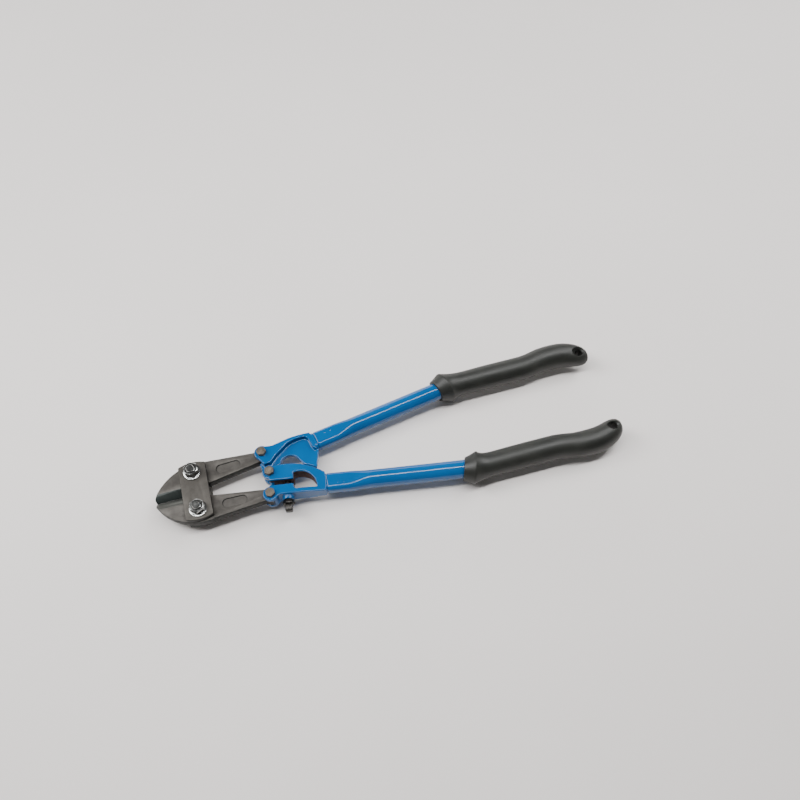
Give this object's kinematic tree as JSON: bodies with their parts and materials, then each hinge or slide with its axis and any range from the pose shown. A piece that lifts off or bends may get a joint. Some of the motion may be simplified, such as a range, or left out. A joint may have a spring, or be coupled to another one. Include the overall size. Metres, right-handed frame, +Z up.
{
  "type": "bolt cutters",
  "caption": "Compound-lever bolt cutters: forged cutting jaws between link plates, cast brackets, blue tubular handles and flared black grips, modelled closed.",
  "frame": {"origin": "middle of the closed tool's outline, on the surface it lies on", "axes": "+X from the blades to the grips, +Y across the tool towards the upper handle, +Z up, along the hinge pins"},
  "size_m": [0.46, 0.1298, 0.0363],
  "materials": {
    "forged_steel": "forged and phosphated, grey-brown, with ground cutting bevels",
    "plate_steel": "pressed and phosphated, slightly darker, rounded edges",
    "bright_plating": "bright zinc plating",
    "bolt_steel": "browned steel",
    "blue_enamel": "gloss blue enamel over cast and drawn steel",
    "grip_vinyl": "black moulded vinyl, satin"
  },
  "bodies": {
    "link": {"front_plate": "plate_steel", "rear_plate": "plate_steel", "upper_jaw_bolt": "bright_plating", "lower_jaw_bolt": "bright_plating", "upper_jaw_nut": "bright_plating", "lower_jaw_nut": "bright_plating", "upper_front_washer": "bright_plating", "lower_front_washer": "bright_plating", "upper_rear_washer": "bright_plating", "lower_rear_washer": "bright_plating"},
    "upper_jaw": {"upper_jaw": "forged_steel"},
    "lower_jaw": {"lower_jaw": "forged_steel"},
    "upper_handle": {"upper_bracket": "blue_enamel", "upper_link_bolt": "bolt_steel", "upper_link_nut": "bolt_steel", "upper_tube": "blue_enamel", "upper_grip": "grip_vinyl"},
    "lower_handle": {"lower_bracket": "blue_enamel", "lower_link_bolt": "bolt_steel", "lower_link_nut": "bolt_steel", "centre_bolt": "bolt_steel", "centre_nut": "bolt_steel", "lower_tube": "blue_enamel", "lower_grip": "grip_vinyl"},
    "adjusting_screw": {"adjusting_screw": "bolt_steel"},
    "lock_nut": {"lock_nut": "bolt_steel"}
  },
  "joints": [
    {"name": "upper_jaw_pivot", "type": "hinge", "parent": "link", "child": "upper_jaw", "pos_m": [-0.18947, 0.02, 0.01625], "axis": [0, 0, 1], "range_deg": [-6.83, 0]},
    {"name": "lower_jaw_pivot", "type": "hinge", "parent": "link", "child": "lower_jaw", "pos_m": [-0.18947, -0.02, 0.01625], "axis": [0, 0, 1], "range_deg": [0, 6.83]},
    {"name": "upper_handle_pivot", "type": "hinge", "parent": "upper_jaw", "child": "upper_handle", "pos_m": [-0.11997, 0.023, 0.01625], "axis": [0, 0, 1], "range_deg": [0, 52]},
    {"name": "lower_handle_pivot", "type": "hinge", "parent": "lower_jaw", "child": "lower_handle", "pos_m": [-0.11997, -0.023, 0.01625], "axis": [0, 0, 1], "range_deg": [-52, 0]},
    {"name": "adjusting_screw_turn", "type": "hinge", "parent": "lower_handle", "child": "adjusting_screw", "pos_m": [-0.10434, -0.02748, 0.01625], "axis": [0.165, 0.9863, 0], "range_deg": [-180, 180]},
    {"name": "lock_nut_turn", "type": "hinge", "parent": "lower_handle", "child": "lock_nut", "pos_m": [-0.10434, -0.02748, 0.01625], "axis": [0.165, 0.9863, 0], "range_deg": [-180, 180]}
  ],
  "couplings": [
    {"joint": "upper_jaw_pivot", "follows": "upper_handle_pivot", "ratio": -0.1303},
    {"joint": "lower_jaw_pivot", "follows": "upper_handle_pivot", "ratio": 0.1303},
    {"joint": "lower_handle_pivot", "follows": "upper_handle_pivot", "ratio": -1}
  ]
}
